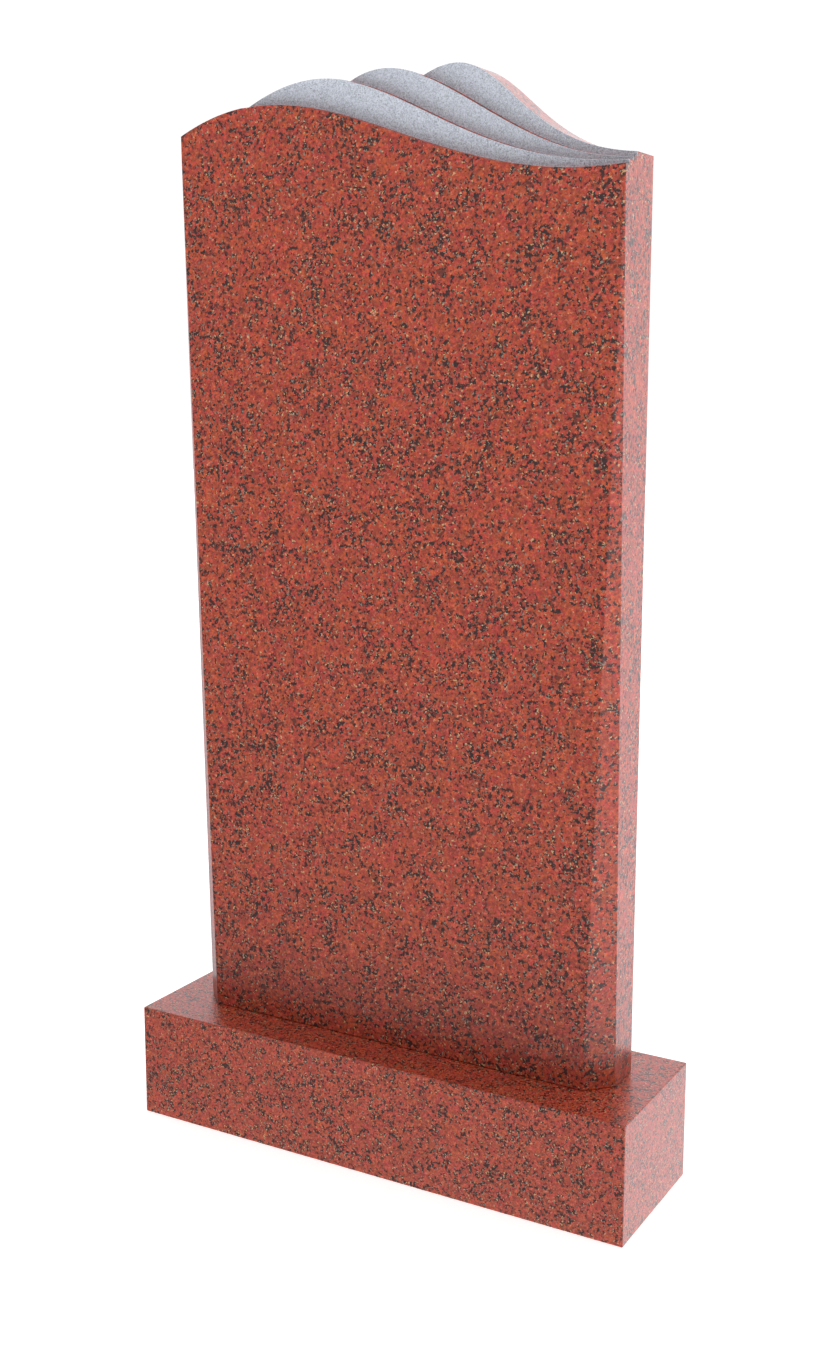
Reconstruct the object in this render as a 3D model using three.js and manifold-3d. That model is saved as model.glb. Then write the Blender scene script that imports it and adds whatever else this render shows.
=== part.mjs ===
// Upright granite headstone on a plain base block, in millimetres, +Z up.
// The origin is at the centre of the base's underside. X runs along the front, and the front faces -Y.
import * as THREE from 'three';
import { ConvexGeometry } from 'three/addons/geometries/ConvexGeometry.js';
import * as BufferGeometryUtils from 'three/addons/utils/BufferGeometryUtils.js';
import Module from 'manifold-3d';

// Base block
const baseLength = 700;
const baseDepth = 200;
const baseHeight = 150;
const baseArris = 1.5; // flat taken off every edge of the base

// Upright slab
const slabWidth = 600;
const slabThickness = 80;
const slabHeight = 1200; // from the top of the base to the highest crest
const bedJoint = 0.3; // between the base and the foot of the slab
const carvingHeight = 128; // from the low right shoulder of the front wave to the highest crest
const waveSetback = 10.5; // how far each wave stands behind the one before it
const waveSegments = 56; // straight pieces along each wave

// The chamfers down the two front corners are widest at the foot and run out at the shoulders
const chamferAtFoot = 30;
const cutterOverrun = 5; // how far the chamfer's cutting wedge passes the slab

// Each wave is one cubic curve from its left end over its crest to the right side of the slab.
// Across, its points are shares of half the slab's width. Upwards, they are shares of the carving's
// height, counted from the low right shoulder. The left ends of the rear waves lie inside the slab.
const waves = [
  { left: [-1, 0.533], rise: [-0.312, 1.29], fall: [0.136, -0.152], right: [1, 0] },
  { left: [-0.9, 0.431], rise: [-0.121, 1.789], fall: [0.071, 0.065], right: [1, 0.035] },
  { left: [-0.5, 0.126], rise: [-0.038, 2.11], fall: [0.329, 0.099], right: [1, 0.07] },
  { left: [-0.2, 0.38], rise: [0.465, 1.855], fall: [0.347, 0.244], right: [1, 0.115] },
];

const slabFoot = baseHeight + bedJoint;
const slabTop = baseHeight + slabHeight;
const shoulderLevel = slabTop - carvingHeight;
const halfWidth = slabWidth / 2;
const slabFront = -slabThickness / 2;
const slabBack = slabThickness / 2;

const polishedGranite = new THREE.MeshStandardMaterial({ color: 0xb4483a, roughness: 0.12, metalness: 0 });
const polishedBaseGranite = new THREE.MeshStandardMaterial({ color: 0xab4234, roughness: 0.12, metalness: 0 });

const wasm = await Module();
wasm.setup();

// A closed three.js geometry as a solid for joining and cutting
function solidOf(geometry) {
  const bare = geometry.clone();
  bare.deleteAttribute('normal');
  bare.deleteAttribute('uv');
  const merged = BufferGeometryUtils.mergeVertices(bare, 1e-4);
  const mesh = new wasm.Mesh({
    numProp: 3,
    vertProperties: new Float32Array(merged.attributes.position.array),
    triVerts: new Uint32Array(merged.index.array),
  });
  return new wasm.Manifold(mesh);
}

// A solid back into a three.js geometry with flat shading
function geometryOf(solid) {
  const mesh = solid.getMesh();
  const geometry = new THREE.BufferGeometry();
  geometry.setAttribute('position', new THREE.BufferAttribute(new Float32Array(mesh.vertProperties), 3));
  geometry.setIndex(new THREE.BufferAttribute(new Uint32Array(mesh.triVerts), 1));
  geometry.computeVertexNormals();
  return geometry;
}

// A point of a wave, as shares, into the slab's front view
function wavePoint([across, up]) {
  return new THREE.Vector2(across * halfWidth, shoulderLevel + up * carvingHeight);
}

// The front view of one wave's layer: its curve on top, straight sides and the slab's foot
function waveOutline(wave) {
  const left = wavePoint(wave.left);
  const right = wavePoint(wave.right);
  const curve = new THREE.CubicBezierCurve(left, wavePoint(wave.rise), wavePoint(wave.fall), right);
  const foot = [new THREE.Vector2(right.x, slabFoot), new THREE.Vector2(left.x, slabFoot)];
  return new THREE.Shape([...curve.getPoints(waveSegments), ...foot].reverse());
}

// One wave as a layer of stone from its own front plane to the back of the slab
function waveLayer(wave, index) {
  const depth = slabThickness - index * waveSetback;
  const geometry = new THREE.ExtrudeGeometry(waveOutline(wave), { depth, bevelEnabled: false });
  const upright = new THREE.Matrix4().makeBasis(
    new THREE.Vector3(1, 0, 0),
    new THREE.Vector3(0, 0, 1),
    new THREE.Vector3(0, -1, 0),
  );
  return geometry.applyMatrix4(upright).translate(0, slabBack, 0);
}

// The wedge that takes off one front corner: side is -1 on the left and 1 on the right
function chamferCutter(side, shoulder) {
  const corners = [];
  for (const level of [slabFoot - cutterOverrun, shoulder + cutterOverrun]) {
    const width = chamferAtFoot * (shoulder - level) / (shoulder - slabFoot);
    const edge = side * halfWidth;
    const outside = edge + side * cutterOverrun;
    const ahead = slabFront - cutterOverrun;
    corners.push(new THREE.Vector3(edge - side * (width + cutterOverrun), ahead, level));
    corners.push(new THREE.Vector3(outside, slabFront + width + cutterOverrun, level));
    corners.push(new THREE.Vector3(outside, ahead, level));
  }
  return new ConvexGeometry(corners);
}

// The slab: four wave layers in one stone, with both front corners chamfered
function slabGeometry() {
  const layers = waves.map((wave, index) => solidOf(waveLayer(wave, index)));
  const carved = layers.reduce((stone, layer) => stone.add(layer));
  const leftShoulder = wavePoint(waves[0].left).y;
  const rightShoulder = wavePoint(waves[0].right).y;
  const chamfered = carved
    .subtract(solidOf(chamferCutter(-1, leftShoulder)))
    .subtract(solidOf(chamferCutter(1, rightShoulder)));
  return geometryOf(chamfered);
}

// The base: a block standing on its underside, with a small flat on every edge
function baseGeometry() {
  const x = baseLength / 2;
  const y = baseDepth / 2;
  const plan = new THREE.Shape([
    new THREE.Vector2(x - baseArris, -y),
    new THREE.Vector2(x, -y + baseArris),
    new THREE.Vector2(x, y - baseArris),
    new THREE.Vector2(x - baseArris, y),
    new THREE.Vector2(-x + baseArris, y),
    new THREE.Vector2(-x, y - baseArris),
    new THREE.Vector2(-x, -y + baseArris),
    new THREE.Vector2(-x + baseArris, -y),
  ]);
  const geometry = new THREE.ExtrudeGeometry(plan, {
    depth: baseHeight - 2 * baseArris,
    bevelThickness: baseArris,
    bevelSize: baseArris,
    bevelOffset: -baseArris,
    bevelSegments: 1,
  });
  return geometry.translate(0, 0, baseArris);
}

const slab = new THREE.Mesh(slabGeometry(), polishedGranite);
slab.name = 'headstone_slab';

const base = new THREE.Mesh(baseGeometry(), polishedBaseGranite);
base.name = 'base_plinth';

const headstone = new THREE.Group();
headstone.add(base, slab);

export default headstone;
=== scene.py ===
import math
import bisect
import bpy
import bmesh
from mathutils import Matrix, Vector, noise


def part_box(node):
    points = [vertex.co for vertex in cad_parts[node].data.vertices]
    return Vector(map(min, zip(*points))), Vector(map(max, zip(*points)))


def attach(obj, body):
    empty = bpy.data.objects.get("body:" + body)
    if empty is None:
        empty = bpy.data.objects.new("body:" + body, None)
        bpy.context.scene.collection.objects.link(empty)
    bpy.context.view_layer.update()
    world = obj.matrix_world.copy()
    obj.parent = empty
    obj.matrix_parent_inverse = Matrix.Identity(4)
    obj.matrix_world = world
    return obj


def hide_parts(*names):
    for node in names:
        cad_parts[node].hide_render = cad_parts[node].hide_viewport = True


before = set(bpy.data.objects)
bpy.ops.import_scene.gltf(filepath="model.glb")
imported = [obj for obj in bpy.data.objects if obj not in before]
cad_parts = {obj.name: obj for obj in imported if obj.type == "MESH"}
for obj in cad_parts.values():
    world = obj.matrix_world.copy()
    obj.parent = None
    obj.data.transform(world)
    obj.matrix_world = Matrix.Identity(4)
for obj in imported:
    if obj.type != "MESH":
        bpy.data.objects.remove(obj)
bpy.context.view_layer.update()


# Colours are sRGB hex values, and Blender wants them linear
def linear(hexValue, alpha=1.0):
    channels = [(hexValue >> shift & 255) / 255 for shift in (16, 8, 0)]
    return tuple(c / 12.92 if c <= 0.04045 else ((c + 0.055) / 1.055) ** 2.4 for c in channels) + (alpha,)


# Adds a node with its own settings, its inputs and, on a ramp, its (position, hex) stops.
# An input is a value, a socket or a node, whose first enabled output is then linked
def addNode(tree, kind, inputs=None, stops=(), **settings):
    node = tree.nodes.new(kind)
    for name, value in settings.items():
        setattr(node, name, value)
    for name, value in (inputs or {}).items():
        if isinstance(value, bpy.types.Node):
            value = next(socket for socket in value.outputs if socket.enabled)
        if isinstance(value, bpy.types.NodeSocket):
            tree.links.new(value, node.inputs[name])
        else:
            node.inputs[name].default_value = value
    for index, (position, hexValue) in enumerate(stops):
        elements = node.color_ramp.elements
        element = elements[index] if index < 2 else elements.new(position)
        element.position, element.color = position, linear(hexValue)
    return node


def newMaterial(name):
    material = bpy.data.materials.new(name)
    material.use_nodes = True
    material.node_tree.nodes.clear()
    return material, material.node_tree


# Red granite, sawn and polished: the eye sees red and orange feldspar run together, dark mica in
# broken chains and small pale specks beside it, all under a clear even gloss. The ledges between
# the waves are only honed, so they stay a dull dark red
graniteLook = {
    "grainMm": 1.8,  # width of the smallest grains
    "raggedMm": 5.2,  # how far grain edges wander
    "raggedEveryMm": 2.4,
    "chainMm": 5.0,  # spacing of the dark chains
    "patchMm": 24.0,  # spacing of the darker and emptier areas
    "patchWeight": 0.42,
    "darkFrom": 0.568,  # chain strength at which a grain is dark
    "redInChains": 0.12,  # share of a chain's grains that stay red
    "specksFrom": 0.525,  # chain strength at which pale specks start
    "speckShare": 0.105,
    "ashShare": 0.5,  # share of the specks that are ash and not cream
    "driftMm": 18.0,  # spacing of the orange and crimson areas
    "driftRange": (-0.55, 0.05),  # share of orange that an area adds, from crimson to orange ones
    "grainDrift": 1.5,  # the most orange that a single grain's own draw adds
    "roseFrom": 0.8,  # draw from which a grain turns to rose
    "roseMost": 0.7,
    "cloudMm": 5.5,  # spacing of the lighter and darker reds
    "cloudShade": (0.72, 1.27),
    "grainShade": (0.57, 1.18),
    "blotchMm": 9.0,  # spacing of the few big brown grains
    "blotchRange": (0.665, 0.69),
    "blotchMost": 0.75,
    "noiseRange": (0.36, 0.64),  # drift and cloud noise outside this counts as its ends
    "crimson": 0xAC3632,
    "orange": 0xB04E26,
    "rose": 0xB86C58,
    "mica": 0x160B09,
    "brown": 0x3A1813,
    "cream": 0xC49B70,
    "ash": 0x807A6E,
    "polishedRoughness": 0.32,
    "honedRoughness": 0.6,
    "ior": 1.5,
}


def redGranite(name, roughness, shift=(0, 0, 0), fineness=1.0):
    look = graniteLook
    noiseLow, noiseHigh = look["noiseRange"]
    driftLow, driftHigh = look["driftRange"]
    cloudDark, cloudLight = look["cloudShade"]
    grainDark, grainLight = look["grainShade"]
    blotchStart, blotchFull = look["blotchRange"]
    material, tree = newMaterial(name)
    place = addNode(tree, "ShaderNodeTexCoord").outputs["Object"]
    inMm = addNode(tree, "ShaderNodeVectorMath", {0: place, 1: (1000 * fineness,) * 3, 2: shift},
                   operation="MULTIPLY_ADD")

    # Grains are cells with wandering edges
    wander = addNode(tree, "ShaderNodeTexNoise", {"Vector": inMm, "Scale": 1 / look["raggedEveryMm"]})
    wander = addNode(tree, "ShaderNodeVectorMath", {0: wander.outputs["Color"], 1: (0.5,) * 3},
                     operation="SUBTRACT")
    pushed = addNode(tree, "ShaderNodeVectorMath", {0: wander, 1: (look["raggedMm"],) * 3, 2: inMm},
                     operation="MULTIPLY_ADD")
    grains = addNode(tree, "ShaderNodeTexVoronoi", {"Vector": pushed, "Scale": 1 / look["grainMm"]})
    draw = addNode(tree, "ShaderNodeSeparateColor", {"Color": grains.outputs["Color"]})
    firstDraw, secondDraw, thirdDraw = draw.outputs

    # Each grain takes its kind from the noise at its own middle
    chains = addNode(tree, "ShaderNodeTexNoise", {"Vector": grains.outputs["Position"], "Detail": 1.5,
                                                  "Scale": 1 / look["chainMm"]})
    patches = addNode(tree, "ShaderNodeTexNoise", {"Vector": inMm, "Detail": 3.0,
                                                   "Scale": 1 / look["patchMm"]})
    patches = addNode(tree, "ShaderNodeMath", {0: patches, 1: look["patchWeight"],
                                               2: -look["patchWeight"] / 2}, operation="MULTIPLY_ADD")
    strength = addNode(tree, "ShaderNodeMath", {0: patches, 1: chains}, operation="ADD")

    # The red ground: crimson and orange areas, with rose grains among them
    drift = addNode(tree, "ShaderNodeTexNoise", {"Vector": inMm, "Detail": 3.0,
                                                 "Scale": 1 / look["driftMm"]})
    drift = addNode(tree, "ShaderNodeMapRange", {"Value": drift, "From Min": noiseLow, "From Max": noiseHigh,
                                                 "To Min": driftLow, "To Max": driftHigh})
    drift = addNode(tree, "ShaderNodeMath", {0: secondDraw, 1: look["grainDrift"], 2: drift},
                    operation="MULTIPLY_ADD")
    ground = addNode(tree, "ShaderNodeMix", {"Factor": drift, "A": linear(look["crimson"]),
                                             "B": linear(look["orange"])}, data_type="RGBA")
    isRose = addNode(tree, "ShaderNodeMapRange", {"Value": thirdDraw, "From Min": look["roseFrom"],
                                                  "To Max": look["roseMost"]})
    ground = addNode(tree, "ShaderNodeMix", {"Factor": isRose, "A": ground, "B": linear(look["rose"])},
                     data_type="RGBA")

    # Each grain is a little lighter or darker than the next, and so are whole clouds of them
    cloud = addNode(tree, "ShaderNodeTexNoise", {"Vector": inMm, "Detail": 4.0,
                                                 "Scale": 1 / look["cloudMm"]})
    cloud = addNode(tree, "ShaderNodeMapRange", {"Value": cloud, "From Min": noiseLow, "From Max": noiseHigh,
                                                 "To Min": cloudDark, "To Max": cloudLight})
    shade = addNode(tree, "ShaderNodeMapRange", {"Value": firstDraw, "To Min": grainDark,
                                                 "To Max": grainLight})
    shade = addNode(tree, "ShaderNodeMath", {0: shade, 1: cloud}, operation="MULTIPLY")
    ground = addNode(tree, "ShaderNodeVectorMath", {0: ground, "Scale": shade}, operation="SCALE")

    # Big brown grains, then pale specks beside the chains, then the dark chains themselves
    blotches = addNode(tree, "ShaderNodeTexNoise", {"Vector": inMm, "Detail": 1.5,
                                                    "Scale": 1 / look["blotchMm"]})
    blotches = addNode(tree, "ShaderNodeMapRange", {"Value": blotches, "From Min": blotchStart,
                                                    "From Max": blotchFull, "To Max": look["blotchMost"]})
    colour = addNode(tree, "ShaderNodeMix", {"Factor": blotches, "A": ground, "B": linear(look["brown"])},
                     data_type="RGBA")
    isAsh = addNode(tree, "ShaderNodeMath", {0: firstDraw, 1: look["ashShare"]}, operation="LESS_THAN")
    speckTone = addNode(tree, "ShaderNodeMix", {"Factor": isAsh, "A": linear(look["cream"]),
                                                "B": linear(look["ash"])}, data_type="RGBA")
    nearChain = addNode(tree, "ShaderNodeMath", {0: strength, 1: look["specksFrom"]},
                        operation="GREATER_THAN")
    isChosen = addNode(tree, "ShaderNodeMath", {0: secondDraw, 1: look["speckShare"]},
                       operation="LESS_THAN")
    isSpeck = addNode(tree, "ShaderNodeMath", {0: nearChain, 1: isChosen}, operation="MULTIPLY")
    colour = addNode(tree, "ShaderNodeMix", {"Factor": isSpeck, "A": colour, "B": speckTone},
                     data_type="RGBA")
    darkTone = addNode(tree, "ShaderNodeMix", {"Factor": thirdDraw, "A": linear(look["mica"]),
                                               "B": linear(look["brown"])}, data_type="RGBA")
    inChain = addNode(tree, "ShaderNodeMath", {0: strength, 1: look["darkFrom"]}, operation="GREATER_THAN")
    isTaken = addNode(tree, "ShaderNodeMath", {0: secondDraw, 1: look["redInChains"]},
                      operation="GREATER_THAN")
    isDark = addNode(tree, "ShaderNodeMath", {0: inChain, 1: isTaken}, operation="MULTIPLY")
    colour = addNode(tree, "ShaderNodeMix", {"Factor": isDark, "A": colour, "B": darkTone},
                     data_type="RGBA")

    shader = addNode(tree, "ShaderNodeBsdfPrincipled", {"Base Color": colour, "Roughness": roughness,
                                                        "IOR": look["ior"]})
    addNode(tree, "ShaderNodeOutputMaterial", {"Surface": shader})
    return material


# The same granite, bush-hammered: thousands of crushed crystals scatter the light, so the red
# goes and a dry, pale blue-grey with a fine grain is left
hammeredLook = {
    "pitMm": 1.5,  # spacing of the blows' small dark pits
    "dustMm": 0.9,  # spacing of the crushed crystals
    "tones": [(0.3, 0x7A7E87), (0.5, 0xC7CCD7), (0.7, 0xE6ECF6)],
    "roughness": 0.9,
    "ior": 1.5,
    "bumpMm": 0.35,
    "bumpStrength": 0.6,
}


def hammeredGranite():
    look = hammeredLook
    material, tree = newMaterial("bushHammeredGranite")
    place = addNode(tree, "ShaderNodeTexCoord").outputs["Object"]
    inMm = addNode(tree, "ShaderNodeVectorMath", {0: place, 1: (1000,) * 3}, operation="MULTIPLY")
    pits = addNode(tree, "ShaderNodeTexNoise", {"Vector": inMm, "Scale": 1 / look["pitMm"]})
    dust = addNode(tree, "ShaderNodeTexNoise", {"Vector": inMm, "Scale": 1 / look["dustMm"]})
    grit = addNode(tree, "ShaderNodeMix", {"Factor": 0.5, "A": pits, "B": dust})
    tone = addNode(tree, "ShaderNodeValToRGB", {"Fac": grit}, look["tones"])
    bump = addNode(tree, "ShaderNodeBump", {"Height": dust, "Distance": look["bumpMm"] / 1000,
                                            "Strength": look["bumpStrength"]})
    shader = addNode(tree, "ShaderNodeBsdfPrincipled", {"Base Color": tone, "Roughness": look["roughness"],
                                                        "IOR": look["ior"], "Normal": bump})
    addNode(tree, "ShaderNodeOutputMaterial", {"Surface": shader})
    return material


# The upright slab, all sizes in millimetres. The waves are cubic curves: across in shares of half
# the slab's width, and up in shares of the carving's height above the low right shoulder
slab = {
    "carvingHeight": 128.0,
    "setback": 10.5,
    "chamfer": 30.0,
    "softEdge": 0.8,  # how far the front rolls over into the chamfer
    "arris": 0.5,  # radius rubbed onto every sharp edge
    "edgeShare": 0.45,  # the most of a low riser that its rubbed edge may take
    "footArris": 1.6,  # radius at the foot, where it leaves a dark line over the joint
    "ledgeFall": 0.8,  # how far each ledge falls from the foot of a wave to the edge in front
    "ledgeFallShare": 0.2,  # the most a ledge falls, as a share of the riser behind it
    "columnStep": 1.5,
    "columnGap": 0.3,  # share of a step that even columns keep from the fixed ones
    "riserRows": 26,
    "pitDepth": 0.45,
    "pitSize": 2.6,
    "finerPits": 2.1,  # how many times smaller the second size of pit is
    "calmFootRows": 2,  # rows over which the pits fade out at a riser's foot
    "calmTopRows": 3,
    "calmEnd": 3.0,  # the same at the slab's ends
    "fullRise": 4.0,  # height of riser from which the pits have their full depth
    "weld": 0.002,  # points nearer than this are one
    "waves": [
        [(-1, 0.533), (-0.312, 1.29), (0.136, -0.152), (1, 0)],
        [(-0.9, 0.431), (-0.121, 1.789), (0.071, 0.065), (1, 0.035)],
        [(-0.5, 0.126), (-0.038, 2.11), (0.329, 0.099), (1, 0.07)],
        [(-0.2, 0.38), (0.465, 1.855), (0.347, 0.244), (1, 0.115)],
    ],
}
slabLow, slabHigh = (corner * 1000 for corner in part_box("headstone_slab"))
quarterTurn = [math.radians(a) for a in (0, 30, 60, 90)]


# One wave as sorted x values and their heights, for looking up
def sampleWave(points, samples=600):
    shoulder = slabHigh.z - slab["carvingHeight"]
    corners = [(x * slabHigh.x, shoulder + z * slab["carvingHeight"]) for x, z in points]
    xs, zs = [], []
    for k in range(samples + 1):
        t = k / samples
        weights = ((1 - t) ** 3, 3 * (1 - t) ** 2 * t, 3 * (1 - t) * t ** 2, t ** 3)
        xs.append(sum(w * c[0] for w, c in zip(weights, corners)))
        zs.append(sum(w * c[1] for w, c in zip(weights, corners)))
    return xs, zs


def waveHeight(wave, x):
    xs, zs = wave
    if x < xs[0]:
        return -math.inf
    k = min(max(bisect.bisect_right(xs, x), 1), len(xs) - 1)
    share = (x - xs[k - 1]) / (xs[k] - xs[k - 1])
    return zs[k - 1] + share * (zs[k] - zs[k - 1])


# The visible top of each layer at x: no wave may fall below the one in front of it
def layerTops(waves, x):
    tops = []
    for wave in waves:
        tops.append(max([waveHeight(wave, x)] + tops[-1:]))
    return tops


# Where each rear wave rises out of the one in front, found by halving. All rise left of the
# middle of the slab's right half
def crossings(waves, halvings=50):
    found = []
    for index in range(1, len(waves)):
        low = max(waves[index][0][0], slabLow.x)
        high = slabHigh.x / 2
        for _ in range(halvings):
            middle = (low + high) / 2
            if waveHeight(waves[index], middle) > layerTops(waves[:index], middle)[-1]:
                high = middle
            else:
                low = middle
        found.append(high)
    return found


# Columns across the slab: even steps, the crossings, the chamfers' inner edges and the rounded ends
def columnPlaces(waves):
    arris = slab["arris"]
    rounded = [slabHigh.x - arris * (1 - math.sin(a)) for a in quarterTurn]
    fixed = [side * x for side in (-1, 1) for x in rounded] + crossings(waves)
    fixed += [side * (slabHigh.x - slab["chamfer"]) for side in (-1, 1)]
    count = round((rounded[0] * 2) / slab["columnStep"])
    even = [-rounded[0] + 2 * rounded[0] * k / count for k in range(1, count)]
    kept = [x for x in even if min(abs(x - f) for f in fixed) > slab["columnStep"] * slab["columnGap"]]
    return sorted(kept + fixed)


# How far a rounded end has drawn the surface in at this column
def endInset(x):
    arris = slab["arris"]
    past = min(max(abs(x) - (slabHigh.x - arris), 0), arris)
    return arris - math.sqrt(max(arris ** 2 - past ** 2, 0))


# The front's y at a height: flat, then rolling softly into the chamfer near the corner
def frontDepth(x, z, shoulder):
    width = slab["chamfer"] * (shoulder - z) / (shoulder - slabLow.z)
    past = abs(x) - (slabHigh.x - width)
    soft = slab["softEdge"]
    if past <= -soft:
        return slabLow.y
    if past >= soft:
        return slabLow.y + past
    return slabLow.y + (past + soft) ** 2 / (4 * soft)


# Heights where the front of this column needs a point to follow the chamfer's soft edge
def frontHeights(x, shoulder, low, high):
    soft = slab["softEdge"]
    heights = []
    for share in (1, 0.5, 0, -0.5, -1):
        width = slabHigh.x - abs(x) + share * soft
        z = shoulder - width / slab["chamfer"] * (shoulder - slabLow.z)
        heights.append(min(max(z, low), high))
    return [low] + heights + [high]


# A hammered surface: overlapping pits of two sizes, always cut into the stone. Each riser looks
# at another slice of the noise
def pitDepth(x, z, index):
    size = slab["pitSize"]
    place = Vector((x / size, index * 7.3, z / size))
    rough = 0.6 * noise.noise(place) + 0.4 * noise.noise(place * slab["finerPits"])
    return slab["pitDepth"] * (0.5 + 0.9 * rough)


# How much of the pits is left at this row of a riser: they fade out towards its foot and top, and
# the slab's ends, and all along a low one
def pitShare(x, row, rise):
    rows = slab["riserRows"]
    share = row / rows
    calm = min(1, share * rows / slab["calmFootRows"], (1 - share) * rows / slab["calmTopRows"],
               (slabHigh.x - abs(x)) / slab["calmEnd"])
    return calm * min(1, rise / slab["fullRise"])


# One column of the slab as a closed ring of (y, z), with the finish of each stretch:
# up the front, over the waves, down the back and under the foot
def slabRing(waves, shoulders, x):
    arris, footArris = slab["arris"], slab["footArris"]
    inset = endInset(x)
    tops = [top - inset for top in layerTops(waves, x)]
    shoulder = shoulders[0] if x < 0 else shoulders[1]
    foot = slabLow.z + inset
    back = slabHigh.y - inset
    ring, finishes = [], []

    def put(y, z, finish="polished"):
        ring.append((y, z))
        finishes.append(finish)

    for angle in reversed(quarterTurn):
        z = foot + footArris * (1 - math.cos(math.pi / 2 - angle))
        put(frontDepth(x, z, shoulder) + inset + footArris * (1 - math.cos(angle)), z)
    edges = [top - min(slab["ledgeFall"], slab["ledgeFallShare"] * (behind - top))
             for top, behind in zip(tops, tops[1:] + tops[-1:])]
    for z in frontHeights(x, shoulder, foot + footArris, edges[0] - arris)[1:-1]:
        put(frontDepth(x, z, shoulder) + inset, z)
    for index, top in enumerate(edges):
        front = slabLow.y + index * slab["setback"] + inset
        floor = tops[index - 1] if index else None
        radius = min(arris, slab["edgeShare"] * (top - floor)) if index else arris
        if index:
            for row in range(slab["riserRows"]):
                z = floor + row / slab["riserRows"] * (top - radius - floor)
                put(front + pitShare(x, row, top - floor) * pitDepth(x, z, index), z, "hammered")
        for angle in quarterTurn[:-1]:
            put(front + radius * (1 - math.cos(angle)), top - radius * (1 - math.sin(angle)),
                "hammered" if index else "polished")
        put(front + radius, top, "polished" if index == len(edges) - 1 else "honed")
    for angle in quarterTurn:
        put(back - arris * (1 - math.sin(angle)), tops[-1] - arris * (1 - math.cos(angle)))
    for angle in quarterTurn:
        put(back - footArris * (1 - math.cos(angle)), foot + footArris * (1 - math.sin(angle)))
    return ring, finishes


def makeSlab(materials):
    finishOrder = ["polished", "hammered", "honed"]
    waves = [sampleWave(points) for points in slab["waves"]]
    shoulders = (waves[0][1][0], waves[0][1][-1])
    mesh = bmesh.new()
    previous = None
    for x in columnPlaces(waves):
        ring, finishes = slabRing(waves, shoulders, x)
        current = [mesh.verts.new((x / 1000, y / 1000, z / 1000)) for y, z in ring]
        if previous is None:
            mesh.faces.new(current)
        else:
            for k, finish in enumerate(finishes):
                n = (k + 1) % len(ring)
                face = mesh.faces.new((previous[k], previous[n], current[n], current[k]))
                face.material_index = finishOrder.index(finish)
        previous = current
    mesh.faces.new(reversed(previous))
    bmesh.ops.remove_doubles(mesh, verts=mesh.verts, dist=slab["weld"] / 1000)
    bmesh.ops.dissolve_degenerate(mesh, edges=mesh.edges, dist=slab["weld"] / 2000)
    bmesh.ops.recalc_face_normals(mesh, faces=mesh.faces)
    return finishPiece("slabStone", mesh, materials, "headstone_slab")


# The base: a sawn and polished block whose edges have been rubbed down a little, in millimetres
base = {
    "arris": 1.5,
    "arrisSteps": 3,
    "grainShift": (413, 257, 911),  # cut from another place in the stone
    "grainFineness": 1.45,  # how many times smaller its grains are than the slab's
}


def makeBase(polished):
    low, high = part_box("base_plinth")
    mesh = bmesh.new()
    corners = bmesh.ops.create_cube(mesh, size=1)["verts"]
    bmesh.ops.scale(mesh, vec=high - low, verts=corners)
    bmesh.ops.translate(mesh, vec=(low + high) / 2, verts=corners)
    bmesh.ops.bevel(mesh, geom=mesh.edges[:], offset=base["arris"] / 1000, offset_type="OFFSET",
                    segments=base["arrisSteps"], profile=0.5, affect="EDGES")
    return finishPiece("baseStone", mesh, [polished], "base_plinth")


sharpFrom = math.radians(42)  # edges that turn more than this stay crisp


# Turns a bmesh into a piece that stands in for its CAD node
def finishPiece(name, mesh, materials, node):
    data = bpy.data.meshes.new(name)
    mesh.to_mesh(data)
    mesh.free()
    for material in materials:
        data.materials.append(material)
    data.shade_smooth()
    data.set_sharp_from_angle(angle=sharpFrom)
    piece = bpy.data.objects.new(name, data)
    bpy.context.scene.collection.objects.link(piece)
    weighted = piece.modifiers.new("evenShading", "WEIGHTED_NORMAL")
    weighted.keep_sharp = True
    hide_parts(node)
    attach(piece, "root")
    print(f"{name}: {len(data.vertices)} vertices, {len(data.polygons)} faces")
    return piece


# The camera stands where the photograph was taken from: distances in metres, turns in degrees,
# and lens and sensor in millimetres
view = {
    "place": (0.986654, -1.700904, 0.996228),
    "azimuth": 30.035,
    "down": 9.579,
    "lens": 42.70,
    "sensor": 36,
    "shift": (0.00486, -0.0220),
    "clip": (0.05, 60),
}


def makeCamera():
    camera = bpy.data.objects.new("camera", bpy.data.cameras.new("camera"))
    azimuth, down = math.radians(view["azimuth"]), math.radians(view["down"])
    ahead = Vector((-math.sin(azimuth) * math.cos(down), math.cos(azimuth) * math.cos(down),
                    -math.sin(down)))
    camera.location = view["place"]
    camera.rotation_mode = "QUATERNION"
    camera.rotation_quaternion = ahead.to_track_quat("-Z", "Y")
    camera.data.sensor_width = view["sensor"]
    camera.data.lens = view["lens"]
    camera.data.shift_x, camera.data.shift_y = view["shift"]
    camera.data.clip_start, camera.data.clip_end = view["clip"]
    bpy.context.scene.collection.objects.link(camera)
    bpy.context.scene.camera = camera


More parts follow.
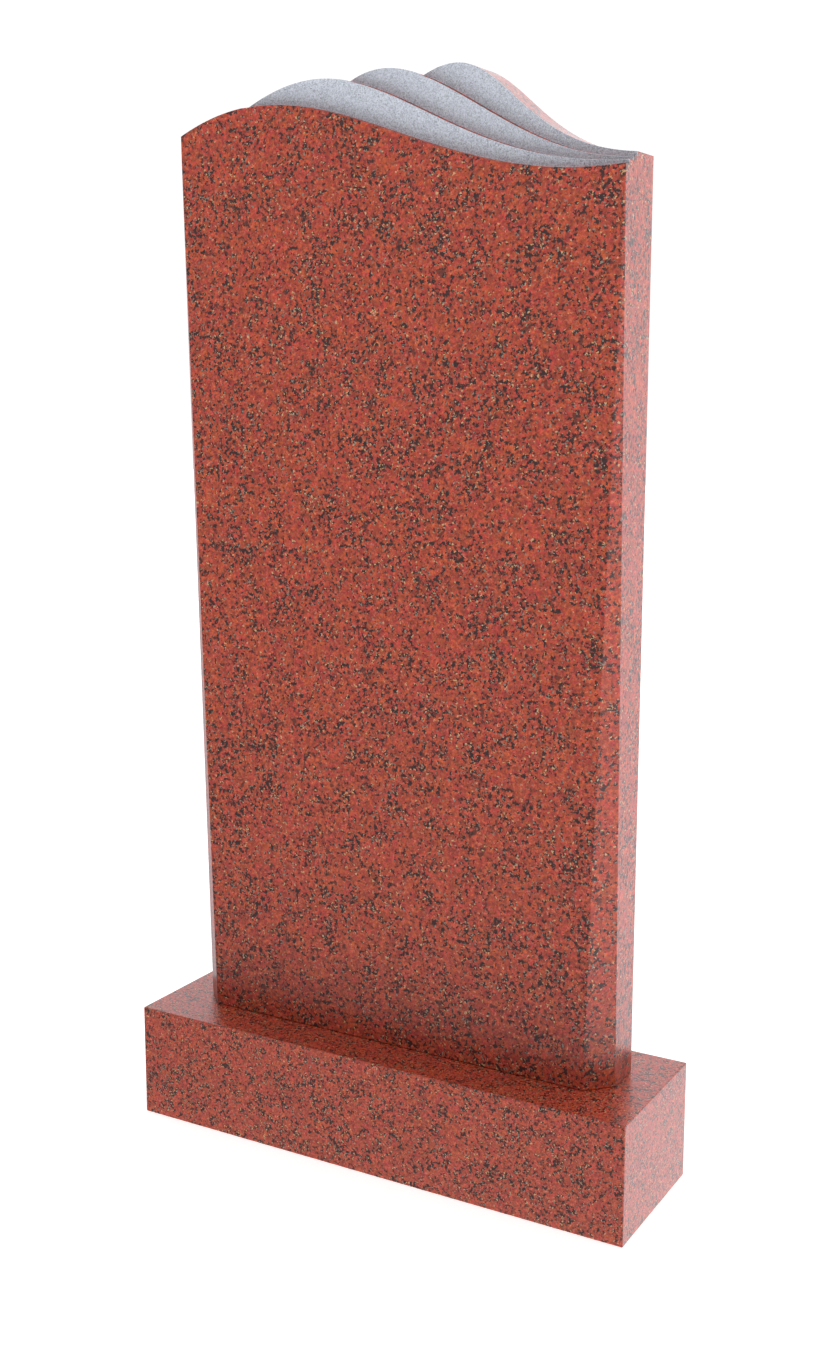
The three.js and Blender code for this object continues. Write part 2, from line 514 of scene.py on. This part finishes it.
# A white tent of light round the stone. The light that falls on it and the light that it reflects
# have their own strengths: of the walls, of what is added towards a side and the top, the most that
# walls give, and what is added overhead and underfoot, gathered there by the focus
tent = {
    "soft": {"walls": 0.33, "towardsRight": 0.25, "towardsBack": -0.095, "towardsTop": 0.0,
             "brightest": 1.0, "overhead": 1.5, "underfoot": 4.2, "focus": 2.0},
    "gloss": {"walls": 1.593, "towardsRight": 0.8, "towardsBack": 0.495, "towardsTop": 0.5,
              "brightest": 2.03, "overhead": -0.6, "underfoot": 0.0, "focus": 4.0},
    "glossTint": 0xFBFAFF,  # reflections are a little cooler than the light on the stone
    "overheadSlant": 0.25,  # how far the overhead light leans to the back
    "backdrop": 1.05,  # what the camera sees behind the stone
}


# The light that one part of the tent gives in each direction
def tentLight(tree, place, part):
    lean = (part["towardsRight"], part["towardsBack"], part["towardsTop"])
    aside = addNode(tree, "ShaderNodeVectorMath", {0: place, 1: lean},
                    operation="DOT_PRODUCT").outputs["Value"]
    light = addNode(tree, "ShaderNodeMath", {0: aside, 1: part["walls"]}, operation="ADD")
    light = addNode(tree, "ShaderNodeMath", {0: light, 1: part["brightest"]}, operation="MINIMUM")
    ends = [((0, tent["overheadSlant"], 1), part["overhead"]), ((0, 0, -1), part["underfoot"])]
    for direction, strength in ends:
        along = addNode(tree, "ShaderNodeVectorMath", {0: place, 1: direction},
                        operation="DOT_PRODUCT").outputs["Value"]
        along = addNode(tree, "ShaderNodeMath", {0: along, 1: 0.0}, operation="MAXIMUM")
        along = addNode(tree, "ShaderNodeMath", {0: along, 1: part["focus"]}, operation="POWER")
        light = addNode(tree, "ShaderNodeMath", {0: along, 1: strength, 2: light}, operation="MULTIPLY_ADD")
    return light


def makeLight():
    world = bpy.data.worlds.new("lightTent")
    bpy.context.scene.world = world
    world.use_nodes = True
    tree = world.node_tree
    tree.nodes.clear()
    place = addNode(tree, "ShaderNodeTexCoord").outputs["Generated"]
    rays = addNode(tree, "ShaderNodeLightPath")
    soft = tentLight(tree, place, tent["soft"])
    gloss = tentLight(tree, place, tent["gloss"])
    lit = addNode(tree, "ShaderNodeMix", {"Factor": rays.outputs["Is Glossy Ray"], "A": soft, "B": gloss})
    seen = addNode(tree, "ShaderNodeMix", {"Factor": rays.outputs["Is Camera Ray"], "A": lit,
                                           "B": tent["backdrop"]})
    tint = addNode(tree, "ShaderNodeMix", {"Factor": rays.outputs["Is Glossy Ray"], "A": linear(0xFFFFFF),
                                           "B": linear(tent["glossTint"])}, data_type="RGBA")
    background = addNode(tree, "ShaderNodeBackground", {"Color": tint, "Strength": seen})
    addNode(tree, "ShaderNodeOutputWorld", {"Surface": background})


# The floor is a sheet of matt white vinyl, lit a little from below, which casts no light on the stone
floorLook = {
    "sizeM": 24,
    "white": 0xF4F4F4,
    "roughness": 0.9,
    "glow": 0.45,
}


def makeFloor():
    mesh = bmesh.new()
    bmesh.ops.create_grid(mesh, x_segments=1, y_segments=1, size=floorLook["sizeM"] / 2)
    data = bpy.data.meshes.new("floor")
    mesh.to_mesh(data)
    mesh.free()
    floor = bpy.data.objects.new("floor", data)
    bpy.context.scene.collection.objects.link(floor)
    material, tree = newMaterial("matWhiteVinyl")
    shader = addNode(tree, "ShaderNodeBsdfPrincipled", {
        "Base Color": linear(floorLook["white"]), "Roughness": floorLook["roughness"],
        "Emission Color": linear(0xFFFFFF), "Emission Strength": floorLook["glow"]})
    addNode(tree, "ShaderNodeOutputMaterial", {"Surface": shader})
    data.materials.append(material)
    floor.visible_glossy = False
    floor.visible_diffuse = False
    floor.visible_shadow = False


bpy.context.scene.view_settings.view_transform = "Standard"
print("granite and light")
slabGranite = redGranite("polishedRedGraniteSlab", graniteLook["polishedRoughness"])
ledgeGranite = redGranite("honedRedGraniteLedges", graniteLook["honedRoughness"])
baseGranite = redGranite("polishedRedGraniteBase", graniteLook["polishedRoughness"],
                         base["grainShift"], base["grainFineness"])
makeCamera()
makeLight()
makeFloor()
print("slab and base")
makeSlab([slabGranite, hammeredGranite(), ledgeGranite])
makeBase(baseGranite)

print("done")
